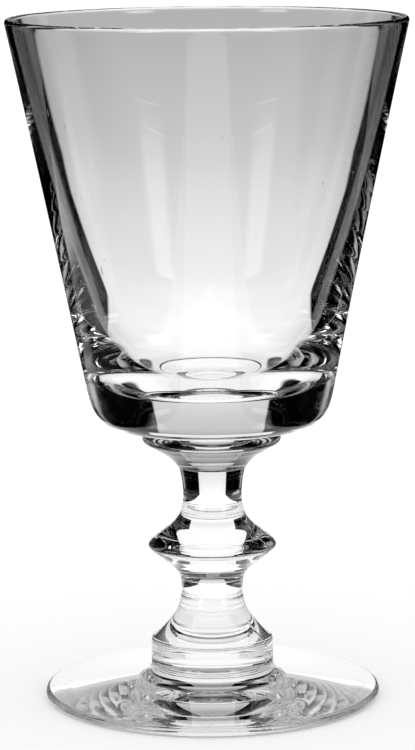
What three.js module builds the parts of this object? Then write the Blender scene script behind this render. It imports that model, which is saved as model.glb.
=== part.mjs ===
// A water goblet in clear glass: a conical bowl with a heavy base, a flared collar under it,
// a moulded stem with a bladed knop, a shouldered pedestal and a spreading foot.
// Millimetres, +Z up. The origin is the middle of the plane that the foot rests on.
// The seven sections stand on one another and meet face to face, where the hot glass is fused.

import * as THREE from "three";

const lerp = THREE.MathUtils.lerp;

// Foot: a disc with a rounded edge, hollow underneath, that rises through a saddle to the pedestal
const footRadius = 38.6;
const footHeight = 7.8;
const footEdgeThickness = 2.1;
const footRestWidth = 5;
const footHollow = 0.5;
const footSaddleWidth = 3.3;
const footSaddleHeight = 4.4;
const footTopBendShares = [0.5, 0.32];
const footHollowBendShares = [0.35, 0.05];
const footSaddleBendShares = [0.88, 0.12];

// Pedestal: a short drum with a concave shoulder above it
const drumRadius = 14.1;
const drumHeight = 5.4;
const drumCornerRound = 0.6;
const shoulderHeight = 8.7;
const shoulderBendShares = [0.89, 0.52];

// Lower stem: a short waisted neck
const lowerStemHeight = 5.6;
const lowerStemWaistRadius = 7.05;
const lowerStemWaistHeight = 3.1;

// Knop: two sloping faces that leave the stem in a fillet and meet in a blunt blade
const knopRadius = 14.7;
const knopHeight = 15.7;
const knopBladeHeight = 7.7;
const knopRootBendShares = [0.18, 0.5];
const knopRootShares = [0.415, 0.505];
const knopTurnShares = [0.785, 0.77];
const knopBladeBendShares = [1.0, 0.65];

// Upper stem: a longer waisted neck
const upperStemHeight = 10.2;
const upperStemWaistRadius = 6.75;
const upperStemWaistHeight = 3.4;

// Collar: a thick lipped disc that runs down into the stem like a trumpet
const collarRadius = 15.9;
const collarHeight = 9.2;
const collarTopRadius = 15.2;
const collarNeckStep = 0.25;
const collarLipHeight = 2.3;
const collarFlareShares = [0.6, 0.61];
const collarFlareBendShares = [0.26, 0.57];
const collarTurnShares = [0.82, 0.775];
const collarLipBendShares = [1.0, 0.24];
const collarTopBendShares = [0.0, 0.6];

// Bowl: a nearly straight cone on a heavy base with a rounded heel. Heights are above its own base.
const rimRadius = 45.4;
const bowlHeight = 93.4;
const lipThickness = 1.45;
const lipRoundHeight = 0.9;
const heelRadius = 28.55;
const heelHeight = 10.55;
const heelWallCorner = [27.1, 3.15];
const heelBaseCorner = [26.15, 0];
const baseFlatRadius = 15.35;
const wallCorner = [36.6, 51.5];

// Its cavity: the wall thickens downwards and turns into the floor in one long round
const cavityWallCorner = [36.66, 57.25];
const cavitySide = [27.2, 28.1];
const baseThickness = 9.55;
const cavityCornerRadius = 21.18;
const cavityFlatRadius = 10;
const cavityDish = 0.2;

// Radii that two neighbouring sections share on their joint plane, and the rounding beside the foot's joint
const pedestalNeckRadius = 7.55;
const knopLowNeckRadius = 7.3;
const knopHighNeckRadius = 7.25;
const collarNeckRadius = 7.65;
const footJointRound = 0.35;

// Facets round the axis, and along each curved stretch of an outline
const roundSteps = 48;
const curveSteps = 4;
const bowlCurveSteps = 6;

// Colourless, fire-polished glass
function clearGlass() {
  return new THREE.MeshStandardMaterial({
    color: 0xeef1f0,
    roughness: 0.03,
    metalness: 0,
    transparent: true,
    opacity: 0.35,
  });
}

// Bends an outline from where it is to a new point. The shares place the bend's corner between the two.
function bendTo(outline, [radiusShare, heightShare], radius, height) {
  const from = outline.currentPoint;
  const cornerRadius = lerp(from.x, radius, radiusShare);
  const cornerHeight = lerp(from.y, height, heightShare);
  outline.quadraticCurveTo(cornerRadius, cornerHeight, radius, height);
}

// Starts an outline on the axis and runs out along a flat joint face.
function fromJoint(radius) {
  const outline = new THREE.Path();
  outline.moveTo(0, 0);
  outline.lineTo(radius, 0);
  return outline;
}

// Turns an outline of (radius, height) points, drawn up from the axis and back to it, into a named solid.
function turned(name, outline, steps = curveSteps) {
  const geometry = new THREE.LatheGeometry(outline.getPoints(steps), roundSteps);
  geometry.rotateX(Math.PI / 2);
  const mesh = new THREE.Mesh(geometry, clearGlass());
  mesh.name = name;
  return mesh;
}

function foot() {
  const edgeRound = footEdgeThickness / 2;
  const edgeRadius = footRadius - edgeRound;
  const saddleRadius = drumRadius + footSaddleWidth;
  const outline = new THREE.Path();
  outline.moveTo(0, footHollow);
  bendTo(outline, footHollowBendShares, edgeRadius - footRestWidth, 0);
  outline.lineTo(edgeRadius, 0);
  outline.absarc(edgeRadius, edgeRound, edgeRound, -Math.PI / 2, Math.PI / 2);
  bendTo(outline, footTopBendShares, saddleRadius, footSaddleHeight);
  bendTo(outline, footSaddleBendShares, drumRadius, footHeight - footJointRound);
  outline.quadraticCurveTo(drumRadius, footHeight, drumRadius - footJointRound, footHeight);
  outline.lineTo(0, footHeight);
  return turned("foot", outline);
}

function pedestal() {
  const height = drumHeight + shoulderHeight;
  const outline = fromJoint(drumRadius - footJointRound);
  outline.quadraticCurveTo(drumRadius, 0, drumRadius, footJointRound);
  outline.lineTo(drumRadius, drumHeight - drumCornerRound);
  const shoulderFoot = [drumRadius - drumCornerRound, drumHeight + drumCornerRound];
  outline.quadraticCurveTo(drumRadius, drumHeight, ...shoulderFoot);
  bendTo(outline, shoulderBendShares, pedestalNeckRadius, height);
  outline.lineTo(0, height);
  return turned("pedestal", outline);
}

// A neck that draws in from its lower joint to a waist, and opens again to its upper joint.
function waistedNeck(name, lowRadius, waistRadius, highRadius, waistHeight, height) {
  const outline = fromJoint(lowRadius);
  outline.quadraticCurveTo(waistRadius, waistHeight / 2, waistRadius, waistHeight);
  outline.quadraticCurveTo(waistRadius, (waistHeight + height) / 2, highRadius, height);
  outline.lineTo(0, height);
  return turned(name, outline);
}

function knop() {
  // The share points of one sloping face, measured from the stem's neck to the blade
  const facePoint = (neckRadius, neckHeight, [radiusShare, heightShare]) => [
    lerp(neckRadius, knopRadius, radiusShare),
    lerp(neckHeight, knopBladeHeight, heightShare),
  ];
  const lowRoot = facePoint(knopLowNeckRadius, 0, knopRootShares);
  const lowTurn = facePoint(knopLowNeckRadius, 0, knopTurnShares);
  const highTurn = facePoint(knopHighNeckRadius, knopHeight, knopTurnShares);
  const highRoot = facePoint(knopHighNeckRadius, knopHeight, knopRootShares);
  const [rootBend, bladeBend] = [knopRootBendShares, knopBladeBendShares];
  const fromFar = ([radiusShare, heightShare]) => [1 - radiusShare, 1 - heightShare];
  const outline = fromJoint(knopLowNeckRadius);
  bendTo(outline, rootBend, ...lowRoot);
  outline.lineTo(...lowTurn);
  bendTo(outline, bladeBend, knopRadius, knopBladeHeight);
  bendTo(outline, fromFar(bladeBend), ...highTurn);
  outline.lineTo(...highRoot);
  bendTo(outline, fromFar(rootBend), knopHighNeckRadius, knopHeight);
  outline.lineTo(0, knopHeight);
  return turned("knop", outline);
}

function bowlCollar() {
  const neckRadius = collarNeckRadius + collarNeckStep;
  const lipBottom = collarHeight - collarLipHeight;
  const flarePoint = ([radiusShare, heightShare]) => [
    lerp(neckRadius, collarRadius, radiusShare),
    lerp(0, lipBottom, heightShare),
  ];
  const outline = fromJoint(neckRadius);
  bendTo(outline, collarFlareBendShares, ...flarePoint(collarFlareShares));
  outline.lineTo(...flarePoint(collarTurnShares));
  bendTo(outline, collarLipBendShares, collarRadius, lipBottom);
  bendTo(outline, collarTopBendShares, collarTopRadius, collarHeight);
  outline.lineTo(0, collarHeight);
  return turned("bowl_collar", outline);
}

function bowl() {
  const outline = fromJoint(baseFlatRadius);
  outline.bezierCurveTo(...heelBaseCorner, ...heelWallCorner, heelRadius, heelHeight);
  const rimHeight = bowlHeight - lipRoundHeight;
  outline.quadraticCurveTo(...wallCorner, rimRadius, rimHeight);
  const lipMiddle = rimRadius - lipThickness / 2;
  outline.absellipse(lipMiddle, rimHeight, lipThickness / 2, lipRoundHeight, 0, Math.PI);
  outline.quadraticCurveTo(...cavityWallCorner, ...cavitySide);
  outline.quadraticCurveTo(cavityCornerRadius, baseThickness, cavityFlatRadius, baseThickness);
  outline.lineTo(0, baseThickness - cavityDish);
  return turned("bowl", outline, bowlCurveSteps);
}

// The sections from the table up, each with its own height
const sections = [
  [foot(), footHeight],
  [pedestal(), drumHeight + shoulderHeight],
  [
    waistedNeck(
      "lower_stem", pedestalNeckRadius, lowerStemWaistRadius, knopLowNeckRadius,
      lowerStemWaistHeight, lowerStemHeight,
    ),
    lowerStemHeight,
  ],
  [knop(), knopHeight],
  [
    waistedNeck(
      "upper_stem", knopHighNeckRadius, upperStemWaistRadius, collarNeckRadius,
      upperStemWaistHeight, upperStemHeight,
    ),
    upperStemHeight,
  ],
  [bowlCollar(), collarHeight],
  [bowl(), bowlHeight],
];

const goblet = new THREE.Group();
let level = 0;
for (const [section, height] of sections) {
  section.position.z = level;
  goblet.add(section);
  level += height;
}

export default goblet;
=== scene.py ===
# %% [markdown]
# # A clear glass water goblet
# The real goblet is three gathers of hot glass fused into one: a blown bowl, a pressed stem and a
# foot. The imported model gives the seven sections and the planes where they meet. This lesson turns
# each section again as a fine, smooth surface, gives it real glass with the marks of its making and
# of its use, and lights it the way glass is photographed: a bright field behind it, and darkness on
# both sides to draw its edges.

# %% Load the frame
import math

import bpy
import numpy as np
from mathutils import Euler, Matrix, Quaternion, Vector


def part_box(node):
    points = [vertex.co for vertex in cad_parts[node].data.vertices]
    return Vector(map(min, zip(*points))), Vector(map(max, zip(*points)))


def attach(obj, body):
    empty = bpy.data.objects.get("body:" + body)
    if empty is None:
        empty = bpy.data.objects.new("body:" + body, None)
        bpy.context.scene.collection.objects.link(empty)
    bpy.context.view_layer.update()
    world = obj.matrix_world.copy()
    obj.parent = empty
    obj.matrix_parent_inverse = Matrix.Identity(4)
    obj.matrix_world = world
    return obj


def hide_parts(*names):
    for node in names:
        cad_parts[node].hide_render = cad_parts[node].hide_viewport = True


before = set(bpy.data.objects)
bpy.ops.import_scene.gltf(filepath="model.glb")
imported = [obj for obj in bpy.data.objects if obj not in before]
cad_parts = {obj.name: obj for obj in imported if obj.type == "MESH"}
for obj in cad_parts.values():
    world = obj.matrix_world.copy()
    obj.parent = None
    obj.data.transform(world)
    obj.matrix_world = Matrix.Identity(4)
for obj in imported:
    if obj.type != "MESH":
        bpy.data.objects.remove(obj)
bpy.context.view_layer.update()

MM = 0.001
scene = bpy.context.scene

# %% [markdown]
# ## The camera
# The photograph was taken a little from above, with a long lens. The rim, the base and the foot
# are circles, so the shapes of their three ellipses give the camera's height, distance and pitch.

# %% Camera
PHOTO_HEIGHT_PX = 750
FOCAL_PX = 3206.72
CAMERA_DISTANCE = 0.72219
CAMERA_HEIGHT = 0.19634
CAMERA_PITCH = math.radians(9.574)
CAMERA_YAW = math.radians(0.043)
CAMERA_ROLL = math.radians(-0.516)
SENSOR_MM = 36.0

camera_data = bpy.data.cameras.new("camera")
camera_data.sensor_width = SENSOR_MM
camera_data.lens = SENSOR_MM * FOCAL_PX / PHOTO_HEIGHT_PX
camera_data.clip_end = 20.0
camera = bpy.data.objects.new("camera", camera_data)
camera.location = (0.0, -CAMERA_DISTANCE, CAMERA_HEIGHT)
camera.rotation_mode = "QUATERNION"
level_aim = Euler((math.pi / 2 - CAMERA_PITCH, 0.0, CAMERA_YAW)).to_quaternion()
camera.rotation_quaternion = level_aim @ Quaternion((0.0, 0.0, 1.0), CAMERA_ROLL)
scene.collection.objects.link(camera)
scene.camera = camera
print("lens", round(camera_data.lens, 1), "mm")

# %% [markdown]
# ## Strokes of an outline
# Every section is turned, so its whole shape is one outline: radius against height. An outline is
# a chain of strokes, and each stroke is a short formula. It is sampled finely, because clear glass
# shows the smallest kink in whatever is seen through it.

# %% Strokes
CURVE_STEP = 0.16
LINE_STEP = 0.8


def steps(length, step):
    """How many equal steps, at least two, cover a length."""
    return max(2, int(math.ceil(length / step)))


def line(start, end, step=LINE_STEP):
    """Straight stroke: start + (end - start) * t."""
    start, end = np.array(start, float), np.array(end, float)
    t = np.linspace(0.0, 1.0, steps(np.linalg.norm(end - start), step) + 1)[:, None]
    return start + (end - start) * t


def bend(start, corner, end, step=CURVE_STEP):
    """Quadratic stroke that leaves start towards corner: start (1-t)^2 + corner 2t(1-t) + end t^2."""
    start, corner, end = (np.array(p, float) for p in (start, corner, end))
    length = np.linalg.norm(corner - start) + np.linalg.norm(end - corner)
    t = np.linspace(0.0, 1.0, steps(length, step) + 1)[:, None]
    return start * (1 - t) ** 2 + corner * 2 * t * (1 - t) + end * t**2


def double_bend(start, first, second, end, step=CURVE_STEP):
    """Cubic stroke: start (1-t)^3 + first 3t(1-t)^2 + second 3t^2(1-t) + end t^3."""
    start, first, second, end = (np.array(p, float) for p in (start, first, second, end))
    length = np.linalg.norm(first - start) + np.linalg.norm(second - first) + np.linalg.norm(end - second)
    t = np.linspace(0.0, 1.0, steps(length, step) + 1)[:, None]
    near_start = start * (1 - t) ** 3 + first * 3 * t * (1 - t) ** 2
    return near_start + second * 3 * t**2 * (1 - t) + end * t**3


def arc(centre, radii, start, end, step=CURVE_STEP):
    """Elliptic stroke: centre + radii * (cos a, sin a), with the angle a in degrees from start to end."""
    count = steps(max(radii) * abs(math.radians(end - start)), step)
    angle = np.radians(np.linspace(start, end, count + 1))
    return np.array(centre, float) + np.array(radii) * np.stack([np.cos(angle), np.sin(angle)], axis=1)


def between(low, high, shares):
    """The point at shares (radius, height) of the way from low to high."""
    low, high = np.array(low, float), np.array(high, float)
    return low + (high - low) * np.array(shares)


def outline(*strokes):
    """Joins strokes end to end, without the points that two strokes share."""
    points = np.concatenate(strokes)
    keep = np.ones(len(points), bool)
    keep[1:] = np.linalg.norm(np.diff(points, axis=0), axis=1) > 1e-6
    return points[keep]


# %% [markdown]
# ## Turning an outline
# The surface is a grid: outline points one way, angles round the axis the other. On the pressed
# sections the angles crowd together at the two seams of the mould, so that a ridge a third of a
# millimetre wide is still a real shape. Where a section is fused to its neighbour, a flat disc closes
# it, and that disc has a material of its own: hot glass that has run together has no surface there.
#
# The stem was set by hand while the glass was soft, and it stands about a third of a millimetre to
# the right of the axis at the knop. All sections share that lean, so their joints still meet.

# %% Turning
TURN_STEPS = 256
PLAIN_ANGLES = np.arange(TURN_STEPS) * 2 * math.pi / TURN_STEPS
SEAM_AZIMUTH = math.radians(-29.4)
SEAM_HEIGHT = 0.13
SEAM_WIDTH = 0.22
SEAM_RADIUS = 14.0
SEAM_REACH = math.radians(6.0)
LEAN = 0.34
LEAN_HEIGHT = 49.0
LEAN_SPREAD = 22.0

crowd = np.linspace(-1.0, 1.0, 15) ** 3 * SEAM_REACH
seam_angles = np.concatenate([crowd + SEAM_AZIMUTH, crowd + SEAM_AZIMUTH + math.pi]) % (2 * math.pi)
PRESSED_ANGLES = np.unique(np.round(np.concatenate([PLAIN_ANGLES, seam_angles]), 5))


def lean(height):
    """How far right the axis stands at a height: LEAN * exp(-((height - LEAN_HEIGHT) / LEAN_SPREAD)^2)."""
    return LEAN * np.exp(-(((height - LEAN_HEIGHT) / LEAN_SPREAD) ** 2))


def turned(name, points, low_joint=None, high_joint=None, relief=None, angles=PLAIN_ANGLES):
    """A closed turned surface from an outline in millimetres.

    Point (r, z) becomes (r cos a + lean, r sin a, z) for every angle a. relief(r, z, a) adds to r. An end
    with a joint radius is closed by a flat disc in the second material, and one without ends on the axis.
    """
    count = len(angles)
    on_axis_low, on_axis_high = low_joint is None, high_joint is None
    ring_points = points[int(on_axis_low): len(points) - int(on_axis_high)]
    radius, height = ring_points[:, :1], ring_points[:, 1:]
    radius = radius + (relief(radius, height, angles[None, :]) if relief else 0 * angles)
    across = radius * np.cos(angles) + lean(height)
    grid = np.stack([across, radius * np.sin(angles), height + 0 * angles], axis=2)
    poles = np.array([[lean(points[end, 1]), 0.0, points[end, 1]] for end in (0, -1)])
    vertices = np.concatenate([grid.reshape(-1, 3), poles]) * MM
    rows = len(ring_points)
    this, after = np.arange(count), np.roll(np.arange(count), -1)
    base = np.arange(rows - 1)[:, None] * count
    quads = np.stack([base + this, base + after, base + count + after, base + count + this], axis=2)
    low_pole, high_pole = rows * count, rows * count + 1
    last = (rows - 1) * count
    low_fan = np.stack([0 * this + low_pole, after, this], axis=1)
    high_fan = np.stack([0 * this + high_pole, last + this, last + after], axis=1)
    mesh = bpy.data.meshes.new(name)
    mesh.from_pydata(vertices, [], quads.reshape(-1, 4).tolist() + low_fan.tolist() + high_fan.tolist())
    flat = np.zeros(len(mesh.polygons), bool)
    flat[-2 * count: -count] = not on_axis_low
    flat[-count:] = not on_axis_high
    mesh.polygons.foreach_set("use_smooth", ~flat)
    mesh.polygons.foreach_set("material_index", flat.astype(np.int32))
    mesh.update()
    piece = bpy.data.objects.new(name, mesh)
    scene.collection.objects.link(piece)
    triangles = 2 * quads.shape[0] * quads.shape[1] + 2 * count
    print(name, triangles, "triangles")
    return piece


def seam(radius, height, angle):
    """A fine raised line at both parting planes, lower on the thin necks, where the hot stem was drawn.

    It is ridge * exp(-(arc length from the plane / SEAM_WIDTH)^2), where the height of the ridge is
    SEAM_HEIGHT * (radius / SEAM_RADIUS)^2.
    """
    away = (angle - SEAM_AZIMUTH + math.pi / 2) % math.pi - math.pi / 2
    ridge = SEAM_HEIGHT * (radius / SEAM_RADIUS) ** 2
    return ridge * np.exp(-((away * radius / SEAM_WIDTH) ** 2))


# %% [markdown]
# ## The heights and radii of the sections
# The frame gives them: the planes where each section starts and ends, and its widest radius. The
# neck radii are those that two neighbouring sections share on their joint plane.

# %% Sections
LEVELS = {node: (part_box(node)[0][2] / MM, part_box(node)[1][2] / MM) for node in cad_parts}
RADII = {node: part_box(node)[1][0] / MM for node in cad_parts}
FOOT_JOINT_ROUND = 0.35
PEDESTAL_NECK = 7.55
KNOP_LOW_NECK = 7.3
KNOP_HIGH_NECK = 7.25
COLLAR_NECK = 7.65
COLLAR_TOP = 15.2
BOWL_FLAT = 15.35
for node, (low, high) in sorted(LEVELS.items(), key=lambda item: item[1]):
    print(f"{node}: {low:.1f} to {high:.1f} mm, radius {RADII[node]:.1f} mm")

# %% [markdown]
# ## Helpers for nodes
# Materials and lighting are small node graphs. These helpers add a node, feed its inputs with a
# number or with another node's output, and give back the output, so that a graph reads as a formula.

# %% Node helpers


def feed(tree, value, target):
    """Links a node's output to the target input, or sets a plain value on it."""
    if isinstance(value, bpy.types.NodeSocket):
        tree.links.new(value, target)
    else:
        target.default_value = value


def add(tree, kind, inputs=(), **settings):
    """A new shader node with its settings, and its inputs fed by name or number."""
    node = tree.nodes.new("ShaderNode" + kind)
    for key, value in settings.items():
        setattr(node, key, value)
    for key, value in dict(inputs).items():
        feed(tree, value, node.inputs[key])
    return node


def math_of(tree, operation, *values):
    """One math operation on one, two or three values."""
    return add(tree, "Math", enumerate(values), operation=operation).outputs[0]


def rise(tree, value, low, high, start=0.0, end=1.0):
    """Smooth step from start to end while value goes from low to high."""
    inputs = {"Value": value, "From Min": low, "From Max": high, "To Min": start, "To Max": end}
    return add(tree, "MapRange", inputs, interpolation_type="SMOOTHSTEP").outputs[0]


def curve(tree, value, stops):
    """A line through (value, level) stops, level beyond the first and the last."""
    low, high = stops[0][0], stops[-1][0]
    share = add(tree, "MapRange", {"Value": value, "From Min": low, "From Max": high}).outputs[0]
    node = add(tree, "ValToRGB", {"Fac": share})
    elements = node.color_ramp.elements
    elements.remove(elements[-1])
    for index, (position, level) in enumerate(stops):
        element = elements[0] if index == 0 else elements.new((position - low) / (high - low))
        element.position = (position - low) / (high - low)
        element.color = (level, level, level, 1.0)
    return node.outputs["Color"]


# %% [markdown]
# ## Clear glass with the marks of making and use
# The glass is soda-lime or light crystal, colourless, with an index near 1.51. Three finishes differ
# only in their marks. Blown glass has long shallow waves, a few seeds and hairline scratches from use.
# Pressed glass keeps the finer ripple of the iron mould. The foot is worn matt in a patchy ring where
# it has slid on tables. Marks are sparse cells of a Voronoi pattern: a cell takes part only if its
# random number is high enough, and stretching the pattern turns its round dots into scratches.

# %% Glass
GLASS_INDEX = 1.51
DENT_DEPTH = 0.000015
HAIRLINE_STRETCH = (900.0, 900.0, 110.0)
ARC_STRETCH = (260.0, 1100.0, 900.0)
SEED_STRETCH = (420.0, 420.0, 420.0)


def marks(tree, place, stretch, turn, share, size):
    """A mask of sparse soft dots: 1 within size of a cell's point, in the given share of the cells."""
    mapping = add(tree, "Mapping", {"Vector": place, "Rotation": turn, "Scale": stretch})
    cells = add(tree, "TexVoronoi", {"Vector": mapping.outputs[0], "Scale": 1.0, "Randomness": 1.0})
    lot = add(tree, "SeparateColor", {0: cells.outputs["Color"]}).outputs[0]
    chosen = rise(tree, lot, 1.0 - share, 1.0 - share + 0.01)
    near = rise(tree, cells.outputs["Distance"], size, size * 0.4)
    return math_of(tree, "MULTIPLY", chosen, near)


def clear_glass(name, wave_scale, wave_depth, scratch_share, seed_share):
    """Glass with shallow waves, sparse scratches and seeds.

    Gives the material, its coordinates and the mask of its scratches.
    """
    material = bpy.data.materials.new(name)
    material.use_nodes = True
    tree = material.node_tree
    shader = tree.nodes["Principled BSDF"]
    shader.inputs["Base Color"].default_value = (1.0, 1.0, 1.0, 1.0)
    shader.inputs["IOR"].default_value = GLASS_INDEX
    shader.inputs["Transmission Weight"].default_value = 1.0
    place = add(tree, "TexCoord").outputs["Object"]
    hairlines = marks(tree, place, HAIRLINE_STRETCH, (0.06, 0.1, 0.0), scratch_share, size=0.3)
    arcs = marks(tree, place, ARC_STRETCH, (0.5, 0.2, 0.7), scratch_share * 0.6, size=0.25)
    seeds = marks(tree, place, SEED_STRETCH, (0.0, 0.0, 0.3), seed_share, size=0.14)
    scratches = math_of(tree, "MAXIMUM", hairlines, arcs)
    waves = add(tree, "TexNoise", {"Vector": place, "Scale": wave_scale, "Detail": 1.0}).outputs["Fac"]
    flow = add(tree, "Bump", {"Height": waves, "Distance": wave_depth})
    dents = math_of(tree, "MAXIMUM", scratches, seeds)
    cut = add(tree, "Bump", {"Height": dents, "Distance": DENT_DEPTH, "Normal": flow.outputs[0]}, invert=True)
    tree.links.new(cut.outputs[0], shader.inputs["Normal"])
    return material, place, scratches


def matt_where(material, mask, roughness):
    """Makes the glass rough by a mask from 0 to 1."""
    tree = material.node_tree
    rough = math_of(tree, "MULTIPLY", mask, roughness)
    tree.links.new(rough, tree.nodes["Principled BSDF"].inputs["Roughness"])


blown_glass, _, scratches = clear_glass(
    "blown_glass", wave_scale=70.0, wave_depth=0.000004, scratch_share=0.01, seed_share=0.04
)
matt_where(blown_glass, scratches, roughness=0.3)
pressed_glass, _, scratches = clear_glass(
    "pressed_glass", wave_scale=260.0, wave_depth=0.0000015, scratch_share=0.01, seed_share=0.02
)
matt_where(pressed_glass, scratches, roughness=0.25)

# %% [markdown]
# The worn ring lies under the edge of the foot, where only the lowest hundredths of a millimetre touch
# the table. A fine noise breaks it up into patches.

# %% Worn foot
WEAR_HEIGHT = 0.00004
WEAR_PATCH_SCALE = 900.0
foot_glass, place, scratches = clear_glass(
    "foot_glass", wave_scale=90.0, wave_depth=0.000003, scratch_share=0.015, seed_share=0.03
)
tree = foot_glass.node_tree
height = add(tree, "SeparateXYZ", {0: place}).outputs[2]
resting = rise(tree, height, WEAR_HEIGHT, 0.0)
patches = add(tree, "TexNoise", {"Vector": place, "Scale": WEAR_PATCH_SCALE, "Detail": 3.0}).outputs["Fac"]
worn = math_of(tree, "MULTIPLY", resting, rise(tree, patches, 0.5, 0.68))
matt_where(foot_glass, math_of(tree, "MAXIMUM", worn, scratches), roughness=0.22)

# %% [markdown]
# A joint between two sections is glass right through, so its disc lets every ray pass straight on.

# %% Fused joint
fused_joint = bpy.data.materials.new("fused_joint")
fused_joint.use_nodes = True
fused_joint.node_tree.nodes["Principled BSDF"].inputs["Alpha"].default_value = 0.0


def finish_section(piece, node, glass):
    """Gives a section its glass, lets it ride on the body, and hides the CAD part that it replaces."""
    piece.data.materials.append(glass)
    piece.data.materials.append(fused_joint)
    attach(piece, "root")
    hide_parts(node)


print(GLASS_INDEX, [m.name for m in bpy.data.materials])

# %% [markdown]
# ## The foot
# A gather of glass is spun out into a disc. Its edge is fire-polished round, the underside is left
# slightly hollow so that it stands on a ring, and the top rises through a saddle to the pedestal.

# %% Foot
FOOT_EDGE = 2.1
FOOT_REST_WIDTH = 5.0
FOOT_HOLLOW = 0.5
HOLLOW_BEND = (0.35, 0.95)
SADDLE = (17.4, 4.4)
TOP_BEND = (0.5, 0.32)
SADDLE_BEND = (0.88, 0.12)


def foot_outline():
    """From the axis along the hollow underside, round the edge and over the top to the joint."""
    radius, (floor, top) = RADII["foot"], LEVELS["foot"]
    drum = RADII["pedestal"]
    round_radius = FOOT_EDGE / 2
    edge = radius - round_radius
    rest = edge - FOOT_REST_WIDTH
    joint = top - FOOT_JOINT_ROUND
    hollow_corner = (rest * HOLLOW_BEND[0], FOOT_HOLLOW * HOLLOW_BEND[1])
    return outline(
        bend((0, FOOT_HOLLOW), hollow_corner, (rest, floor), step=0.6),
        line((rest, floor), (edge, floor)),
        arc((edge, round_radius), (round_radius, round_radius), -90, 90, step=0.08),
        bend((edge, FOOT_EDGE), between((edge, FOOT_EDGE), SADDLE, TOP_BEND), SADDLE, step=0.3),
        bend(SADDLE, between(SADDLE, (drum, joint), SADDLE_BEND), (drum, joint)),
        bend((drum, joint), (drum, top), (drum - FOOT_JOINT_ROUND, top), step=0.06),
    )


foot_joint = RADII["pedestal"] - FOOT_JOINT_ROUND
finish_section(turned("goblet_foot", foot_outline(), high_joint=foot_joint), "foot", foot_glass)

# %% [markdown]
# ## The pedestal
# The lowest part of the pressed stem: a short drum with a crisp upper corner, and a concave shoulder
# that narrows to the neck. The mould's seam runs up it, so it is the first section that takes the
# seam's relief.

# %% Pedestal
DRUM_HEIGHT = 5.4
DRUM_CORNER = 0.6
SHOULDER_BEND = (0.89, 0.52)


def pedestal_outline():
    """Up the drum, round its corner, and in along the shoulder to the neck."""
    drum, (low, high) = RADII["pedestal"], LEVELS["pedestal"]
    corner = low + DRUM_HEIGHT
    shoulder = (drum - DRUM_CORNER, corner + DRUM_CORNER)
    neck = (PEDESTAL_NECK, high)
    return outline(
        bend((drum - FOOT_JOINT_ROUND, low), (drum, low), (drum, low + FOOT_JOINT_ROUND), step=0.06),
        line((drum, low + FOOT_JOINT_ROUND), (drum, corner - DRUM_CORNER), step=0.4),
        bend((drum, corner - DRUM_CORNER), (drum, corner), shoulder, step=0.1),
        bend(shoulder, between(shoulder, neck, SHOULDER_BEND), neck),
    )


pressed = {"relief": seam, "angles": PRESSED_ANGLES}
pedestal = turned("goblet_pedestal", pedestal_outline(), foot_joint, PEDESTAL_NECK, **pressed)
finish_section(pedestal, "pedestal", pressed_glass)

# %% [markdown]
# ## The two necks
# Each neck is a waist: it draws in from the joint below, and opens again to the joint above. Two
# quadratic strokes that meet upright at the waist give that without any corner.

# %% Necks
LOWER_WAIST_RADIUS = 7.05
LOWER_WAIST_HEIGHT = 3.1
UPPER_WAIST_RADIUS = 6.75
UPPER_WAIST_HEIGHT = 3.4


def neck_outline(node, low_radius, waist_radius, high_radius, waist_height):
    """In from the lower joint to the waist, and out again to the upper joint."""
    low, high = LEVELS[node]
    waist = low + waist_height
    return outline(
        bend((low_radius, low), (waist_radius, (low + waist) / 2), (waist_radius, waist)),
        bend((waist_radius, waist), (waist_radius, (waist + high) / 2), (high_radius, high)),
    )


lower_neck = neck_outline(
    "lower_stem", PEDESTAL_NECK, LOWER_WAIST_RADIUS, KNOP_LOW_NECK, LOWER_WAIST_HEIGHT
)
lower_stem = turned("goblet_lower_stem", lower_neck, PEDESTAL_NECK, KNOP_LOW_NECK, **pressed)
finish_section(lower_stem, "lower_stem", pressed_glass)
upper_neck = neck_outline(
    "upper_stem", KNOP_HIGH_NECK, UPPER_WAIST_RADIUS, COLLAR_NECK, UPPER_WAIST_HEIGHT
)
upper_stem = turned("goblet_upper_stem", upper_neck, KNOP_HIGH_NECK, COLLAR_NECK, **pressed)
finish_section(upper_stem, "upper_stem", pressed_glass)

# %% [markdown]
# ## The knop
# The bulge that the fingers hold: two sloping faces that leave the stem in a fillet and meet in a
# blunt blade. Both faces use the same shares of the way from neck to blade, so they are alike.

# %% Knop
BLADE_HEIGHT = 7.7
ROOT_SHARES = (0.415, 0.505)
ROOT_BEND = (0.18, 0.5)
TURN_SHARES = (0.785, 0.77)
BLADE_BEND = (1.0, 0.65)


def knop_outline():
    """Up the lower face to the blade, and in along the upper face."""
    radius, (low, high) = RADII["knop"], LEVELS["knop"]
    blade = (radius, low + BLADE_HEIGHT)

    def face(neck):
        """One sloping face from its neck to the blade."""
        root = between(neck, blade, ROOT_SHARES)
        turn = between(neck, blade, TURN_SHARES)
        return outline(
            bend(neck, between(neck, root, ROOT_BEND), root),
            line(root, turn, step=0.4),
            bend(turn, between(turn, blade, BLADE_BEND), blade, step=0.08),
        )

    return outline(face((KNOP_LOW_NECK, low)), face((KNOP_HIGH_NECK, high))[::-1])


knop = turned("goblet_knop", knop_outline(), KNOP_LOW_NECK, KNOP_HIGH_NECK, **pressed)
finish_section(knop, "knop", pressed_glass)

# %% [markdown]
# ## The collar
# A thick lipped disc that carries the bowl. It flares out of the stem like a trumpet, after a fine
# step where its gather was laid on, and ends in a narrow rounded lip.

# %% Collar
COLLAR_STEP = 0.25
COLLAR_LIP = 2.3
FLARE_SHARES = (0.6, 0.61)
FLARE_BEND = (0.26, 0.57)
LIP_SHARES = (0.82, 0.775)
LIP_BEND = (1.0, 0.24)
RIM_BEND = (0.0, 0.6)


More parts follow.
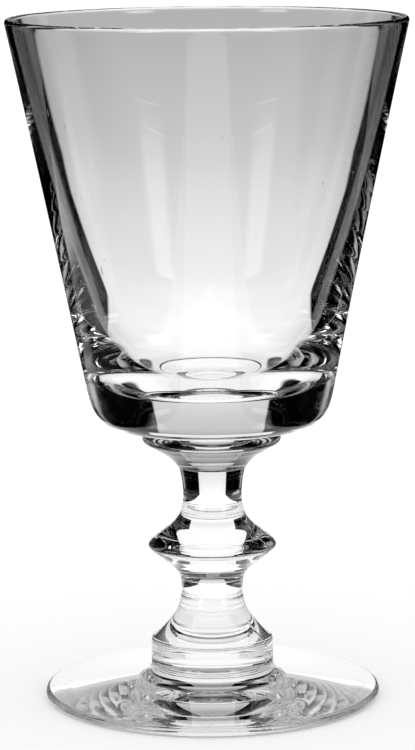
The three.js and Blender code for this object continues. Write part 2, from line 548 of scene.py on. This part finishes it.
def collar_outline():
    """Out by the step, along the flare, round the lip, and in to the joint with the bowl."""
    radius, (low, high) = RADII["bowl_collar"], LEVELS["bowl_collar"]
    neck = (COLLAR_NECK + COLLAR_STEP, low)
    lip = (radius, high - COLLAR_LIP)
    top = (COLLAR_TOP, high)
    flare = between(neck, lip, FLARE_SHARES)
    turn = between(neck, lip, LIP_SHARES)
    return outline(
        line((COLLAR_NECK, low), neck, step=0.1),
        bend(neck, between(neck, flare, FLARE_BEND), flare),
        line(flare, turn, step=0.3),
        bend(turn, between(turn, lip, LIP_BEND), lip, step=0.1),
        bend(lip, between(lip, top, RIM_BEND), top, step=0.1),
    )


collar = turned("goblet_bowl_collar", collar_outline(), COLLAR_NECK, COLLAR_TOP)
finish_section(collar, "bowl_collar", pressed_glass)

# %% [markdown]
# ## The bowl
# The bowl is blown into a mould, so its outside is exact: a nearly straight cone with a rounded heel.
# Inside, the air left the glass to find its own shape. The wall is thin at the rim, thickens all the
# way down, and turns into the floor in one long round. That hidden round is what draws the bright
# lens and the dark ring that are seen in the base, so it is modelled as carefully as the outside.

# %% Bowl
HEEL_SIDE = (28.55, 10.55)
HEEL_WALL_CORNER = (27.1, 3.15)
HEEL_BASE_CORNER = (26.15, 0.0)
WALL_CORNER = (36.6, 51.5)
LIP_THICKNESS = 1.45
LIP_ROUND_HEIGHT = 0.9
CAVITY_WALL_CORNER = (36.66, 57.25)
CAVITY_SIDE = (27.2, 28.1)
CAVITY_FLOOR = 9.55
CAVITY_CORNER_RADIUS = 21.18
CAVITY_FLAT_RADIUS = 10.0
CAVITY_DISH = 0.2


def bowl_outline():
    """From the joint round the heel, up the wall, over the lip and down the cavity to the axis."""
    rim, (low, high) = RADII["bowl"], LEVELS["bowl"]
    rim_height = high - low - LIP_ROUND_HEIGHT
    lip_radii = (LIP_THICKNESS / 2, LIP_ROUND_HEIGHT)
    inner_rim = (rim - LIP_THICKNESS, rim_height)
    flat, dish = (CAVITY_FLAT_RADIUS, CAVITY_FLOOR), CAVITY_FLOOR - CAVITY_DISH
    points = outline(
        line((COLLAR_TOP, 0), (BOWL_FLAT, 0), step=0.08),
        double_bend((BOWL_FLAT, 0), HEEL_BASE_CORNER, HEEL_WALL_CORNER, HEEL_SIDE, step=0.25),
        bend(HEEL_SIDE, WALL_CORNER, (rim, rim_height), step=1.2),
        arc((rim - lip_radii[0], rim_height), lip_radii, 0, 180, step=0.09),
        bend(inner_rim, CAVITY_WALL_CORNER, CAVITY_SIDE, step=1.0),
        bend(CAVITY_SIDE, (CAVITY_CORNER_RADIUS, CAVITY_FLOOR), flat, step=0.34),
        bend(flat, (CAVITY_FLAT_RADIUS / 2, dish), (0, dish), step=0.5),
    )
    return points + np.array([0.0, low])


finish_section(turned("goblet_bowl", bowl_outline(), low_joint=COLLAR_TOP), "bowl", blown_glass)

# %% [markdown]
# ## The studio
# The goblet stands on a strip of white paper that runs towards the camera and, a quarter of a metre
# behind the goblet, up a card. Everything beside the strip is black. The strip is what is seen through
# the glass, and the black beside it draws the edges. It is near, so each part of the goblet sees
# another part of it: the stem sees its white foot, and the bowl its grey middle.
#
# Camera rays and matt surfaces see a plain white table and plain white all round. Only rays that come
# off the glass or out of it see the strip and the black.

# %% Staged panels


def stage_quad(name, corners):
    """One staged rectangle through four corners, with an empty material. Gives its node tree."""
    mesh = bpy.data.meshes.new(name)
    mesh.from_pydata(corners, [], [(0, 1, 2, 3)])
    panel = bpy.data.objects.new(name, mesh)
    scene.collection.objects.link(panel)
    material = bpy.data.materials.new(name)
    material.use_nodes = True
    material.node_tree.nodes.clear()
    mesh.materials.append(material)
    return material.node_tree


def glass_ray(tree):
    """1 for a ray that comes off the glass or out of it, 0 for one from the camera or a matt surface."""
    path = add(tree, "LightPath")
    return math_of(tree, "MAXIMUM", path.outputs["Is Glossy Ray"], path.outputs["Is Transmission Ray"])


def output(tree, plain, through_glass):
    """Shows one shader to the camera and to matt surfaces, and another to rays from the glass."""
    mix = add(tree, "MixShader", {0: glass_ray(tree), 1: plain, 2: through_glass})
    add(tree, "OutputMaterial", {"Surface": mix.outputs[0]})


def stripe(tree, across, half_width, soft):
    """1 within half_width of the middle line, 0 beside it."""
    aside = math_of(tree, "ABSOLUTE", across)
    return rise(tree, aside, half_width - soft, half_width + soft, 1.0, 0.0)


# %% [markdown]
# The paper on the table. Fainter stripes lie at three more bearings, so that the glass also shows a
# bright middle between dark edges from the right, from the front right and from the back left. Under
# the foot the table is left open: what is seen there through the foot comes from below.

# %% Table
FLOOR_HALF = 6.0
FLOOR_DROP = -0.0002
FLOOR_COLOUR = (0.8, 0.8, 0.8, 1.0)
FLOOR_GLOW = 0.25
PAPER_HALF_WIDTHS = [(0.0, 0.066), (0.08, 0.067), (0.16, 0.071), (0.24, 0.0765)]
PAPER_LEVEL = 1.08
OPEN_RADIUS = 0.05
SIDE_STRIPES = [(-90.0, 0.065, 0.02, 0.5), (-45.0, 0.06, 0.08, 0.5), (135.0, 0.07, 0.02, 0.5)]
SIDE_NEAR = 0.11
SIDE_FAR = 0.23
FRONT_LEVEL = 0.4
FRONT_START = 0.12
FRONT_FADE = 0.12
FRONT_HALF_WIDTH = 0.45
FRONT_SOFT = 0.2
PAPER_SOFT = 0.003
STRIPE_SOFT = 0.015
SIDE_NEAR_SOFT = 0.02
SIDE_FAR_SOFT = 0.03
OPEN_EDGE = 0.001

half = FLOOR_HALF
square = [(-half, -half), (half, -half), (half, half), (-half, half)]
tree = stage_quad("studio_floor", [(x, y, FLOOR_DROP) for x, y in square])
place = add(tree, "TexCoord").outputs["Object"]
across, along, height = add(tree, "SeparateXYZ", {0: place}).outputs
distance = add(tree, "VectorMath", {0: place}, operation="LENGTH").outputs["Value"]
aside = math_of(tree, "ABSOLUTE", across)
over = math_of(tree, "SUBTRACT", aside, curve(tree, along, PAPER_HALF_WIDTHS))
level = rise(tree, over, -PAPER_SOFT, PAPER_SOFT, PAPER_LEVEL, 0.0)
front = rise(tree, along, -FRONT_START - FRONT_FADE, -FRONT_START, FRONT_LEVEL, 0.0)
front_stripe = stripe(tree, across, FRONT_HALF_WIDTH, FRONT_SOFT)
level = math_of(tree, "MAXIMUM", level, math_of(tree, "MULTIPLY", front, front_stripe))
for bearing, half_width, near_level, far_level in SIDE_STRIPES:
    turn = (0.0, 0.0, math.radians(bearing))
    turned_place = add(tree, "VectorRotate", {"Vector": place, "Rotation": turn}, rotation_type="EULER_XYZ")
    aside, ahead, height = add(tree, "SeparateXYZ", {0: turned_place.outputs[0]}).outputs
    near_start, near_end = SIDE_NEAR - SIDE_NEAR_SOFT, SIDE_NEAR + SIDE_NEAR_SOFT
    far_start, far_end = SIDE_FAR - SIDE_FAR_SOFT, SIDE_FAR + SIDE_FAR_SOFT
    near_part = rise(tree, ahead, near_start, near_end, 0.0, near_level)
    far_part = rise(tree, ahead, far_start, far_end, 0.0, far_level - near_level)
    side_level = math_of(tree, "ADD", near_part, far_part)
    side_part = math_of(tree, "MULTIPLY", stripe(tree, aside, half_width, STRIPE_SOFT), side_level)
    level = math_of(tree, "MAXIMUM", level, side_part)
paper = add(tree, "Emission", {"Strength": level})
opening = rise(tree, distance, OPEN_RADIUS, OPEN_RADIUS + OPEN_EDGE)
gap = add(tree, "BsdfTransparent")
seen = add(tree, "MixShader", {0: opening, 1: gap.outputs[0], 2: paper.outputs[0]})
matt = add(tree, "BsdfDiffuse", {"Color": FLOOR_COLOUR})
glow = add(tree, "Emission", {"Strength": FLOOR_GLOW})
table = add(tree, "AddShader", {0: matt.outputs[0], 1: glow.outputs[0]})
output(tree, table.outputs[0], seen.outputs[0])

# %% [markdown]
# The card behind the goblet glows, and its glow is painted to fade upwards, as if it were lit from below.
# Black cards close it in on both sides, and far out they turn grey, so that the glass seen from the side
# doesn't look into pure black.

# %% Card with painted fade
CARD_DISTANCE = 0.24
CARD_HALF_WIDTHS = [
    (0.0, 0.0765), (0.03, 0.076), (0.06, 0.0738), (0.08, 0.0685), (0.12, 0.0675), (0.15, 0.0685),
]
CARD_SOFT = 0.002
CARD_TOP = 0.5
BLACK_CARD_REACH = 0.5
FAR_CARD_START = 0.22
FAR_CARD_END = 0.32
FAR_CARD_LEVEL = 0.45
# Painted light: the card's glow at each height, brightest at the table and fading upwards as if lit from
# below.
CARD_PAINTED_FADE = [
    (0.0, 1.06), (0.024, 1.0), (0.04, 0.91), (0.058, 0.85), (0.074, 0.77), (0.089, 0.67),
    (0.1, 0.62), (0.115, 0.58), (0.132, 0.53), (0.15, 0.46), (0.18, 0.3), (0.5, 0.3),
]
reach = BLACK_CARD_REACH
card_corners = [(-reach, 0.0), (reach, 0.0), (reach, CARD_TOP), (-reach, CARD_TOP)]
tree = stage_quad("studio_card", [(x, CARD_DISTANCE, z) for x, z in card_corners])
place = add(tree, "TexCoord").outputs["Object"]
across, _, height = add(tree, "SeparateXYZ", {0: place}).outputs
# The painted fade of the card's glow with height.
painted_fade = curve(tree, height, CARD_PAINTED_FADE)
aside = math_of(tree, "ABSOLUTE", across)
over = math_of(tree, "SUBTRACT", aside, curve(tree, height, CARD_HALF_WIDTHS))
level = math_of(tree, "MULTIPLY", rise(tree, over, -CARD_SOFT, CARD_SOFT, 1.0, 0.0), painted_fade)
far_card = rise(tree, over, FAR_CARD_START, FAR_CARD_END, 0.0, FAR_CARD_LEVEL)
level = math_of(tree, "MAXIMUM", level, far_card)
card = add(tree, "Emission", {"Strength": level})
output(tree, add(tree, "BsdfTransparent").outputs[0], card.outputs[0])

# %% [markdown]
# ## The surroundings
# The world gives the rest by direction. Compass 0 is behind the goblet, elevation 0 the horizon.

# %% World directions
world = bpy.data.worlds.new("studio")
scene.world = world
world.use_nodes = True
tree = world.node_tree
tree.nodes.clear()
direction = add(tree, "TexCoord").outputs["Generated"]
east, north, up = add(tree, "SeparateXYZ", {0: direction}).outputs
elevation = math_of(tree, "DEGREES", math_of(tree, "ARCSINE", up))
compass = math_of(tree, "DEGREES", math_of(tree, "ARCTAN2", east, north))
side = math_of(tree, "ABSOLUTE", compass)


def off(centre):
    """Degrees of compass between the direction and a centre, 0 to 180."""
    turn = math_of(tree, "SUBTRACT", compass, centre)
    return math_of(tree, "ABSOLUTE", math_of(tree, "WRAP", turn, 180.0, -180.0))


def light(bearing, half_width, low, high, strength, soft):
    """A soft-edged light around a bearing between two elevations, all in degrees."""
    wide = rise(tree, bearing, half_width - soft, half_width + soft, strength, 0.0)
    above = rise(tree, elevation, low - soft, low + soft)
    below = rise(tree, elevation, high - soft, high + soft, 1.0, 0.0)
    return math_of(tree, "MULTIPLY", wide, math_of(tree, "MULTIPLY", above, below))


# %% [markdown]
# Below the horizon the world is seen only through the foot. It is bright straight down and behind the
# goblet, and a little dimmer elsewhere. Above the horizon, a few soft lights give the highlights: two
# tall strips beside the camera, banks overhead, and small ones behind. All angles are in degrees.

# %% Soft lights
TABLE_EDGE = -12.5
TABLE_EDGE_SOFT = 0.7
TABLE_DEEP = -40.0
TABLE_DEEP_SOFT = 6.0
TABLE_BY_SIDE = [(0.0, 1.05), (42.0, 1.0), (62.0, 0.7), (138.0, 0.7), (180.0, 0.75)]
table_side = curve(tree, side, TABLE_BY_SIDE)
deep = rise(tree, elevation, TABLE_DEEP - TABLE_DEEP_SOFT, TABLE_DEEP + TABLE_DEEP_SOFT, 1.0, 0.0)
table_level = add(tree, "Mix", {0: deep, 2: table_side, 3: 1.0}).outputs[0]
edge_low, edge_high = TABLE_EDGE - TABLE_EDGE_SOFT, TABLE_EDGE + TABLE_EDGE_SOFT
below_edge = rise(tree, elevation, edge_low, edge_high, 1.0, 0.0)
brightness = math_of(tree, "MULTIPLY", table_level, below_edge)
# Bearing, half width, lowest and highest elevation, strength, softness
LIGHTS = [
    (side, 17.2, -14.0, 0.5, 0.6, 0.6),
    (off(-90.0), 9.0, -1.0, 14.0, 0.4, 2.0),
    (off(135.0), 8.0, -1.0, 10.0, 0.5, 2.0),
    (off(25.0), 6.0, 30.0, 40.0, 0.6, 3.0),
    (off(-25.0), 6.0, 30.0, 40.0, 0.6, 3.0),
    (side, 17.0, 48.0, 75.0, 0.35, 3.0),
    (off(95.0), 22.0, 42.0, 58.0, 0.7, 5.0),
    (off(-95.0), 22.0, 42.0, 58.0, 0.7, 5.0),
    (off(139.0), 8.0, -6.0, 13.5, 2.8, 3.0),
    (off(-139.0), 8.0, -6.0, 13.5, 2.8, 3.0),
]
for bearing, half_width, low, high, strength, soft in LIGHTS:
    brightness = math_of(tree, "ADD", brightness, light(bearing, half_width, low, high, strength, soft))

# %% World output
white = add(tree, "Background", {"Color": (1.0, 1.0, 1.0, 1.0), "Strength": 1.0})
surroundings = add(tree, "Background", {"Color": (1.0, 1.0, 1.0, 1.0), "Strength": brightness})
mix = add(tree, "MixShader", {0: glass_ray(tree), 1: white.outputs[0], 2: surroundings.outputs[0]})
add(tree, "OutputWorld", {"Surface": mix.outputs[0]})
print(len(LIGHTS), "lights")

# %% [markdown]
# ## Light paths
# A ray that runs down the stem crosses many glass surfaces and fused joints, and one that is caught
# in the thin disc of the foot is reflected dozens of times before it leaves. Each is a bounce, so the
# limits are raised so far that hardly any path ends early and turns black.

# %% Light paths
scene.view_settings.view_transform = "Standard"
scene.cycles.max_bounces = 96
scene.cycles.transmission_bounces = 48
scene.cycles.glossy_bounces = 64
scene.cycles.transparent_max_bounces = 48
print("bounces", scene.cycles.max_bounces)
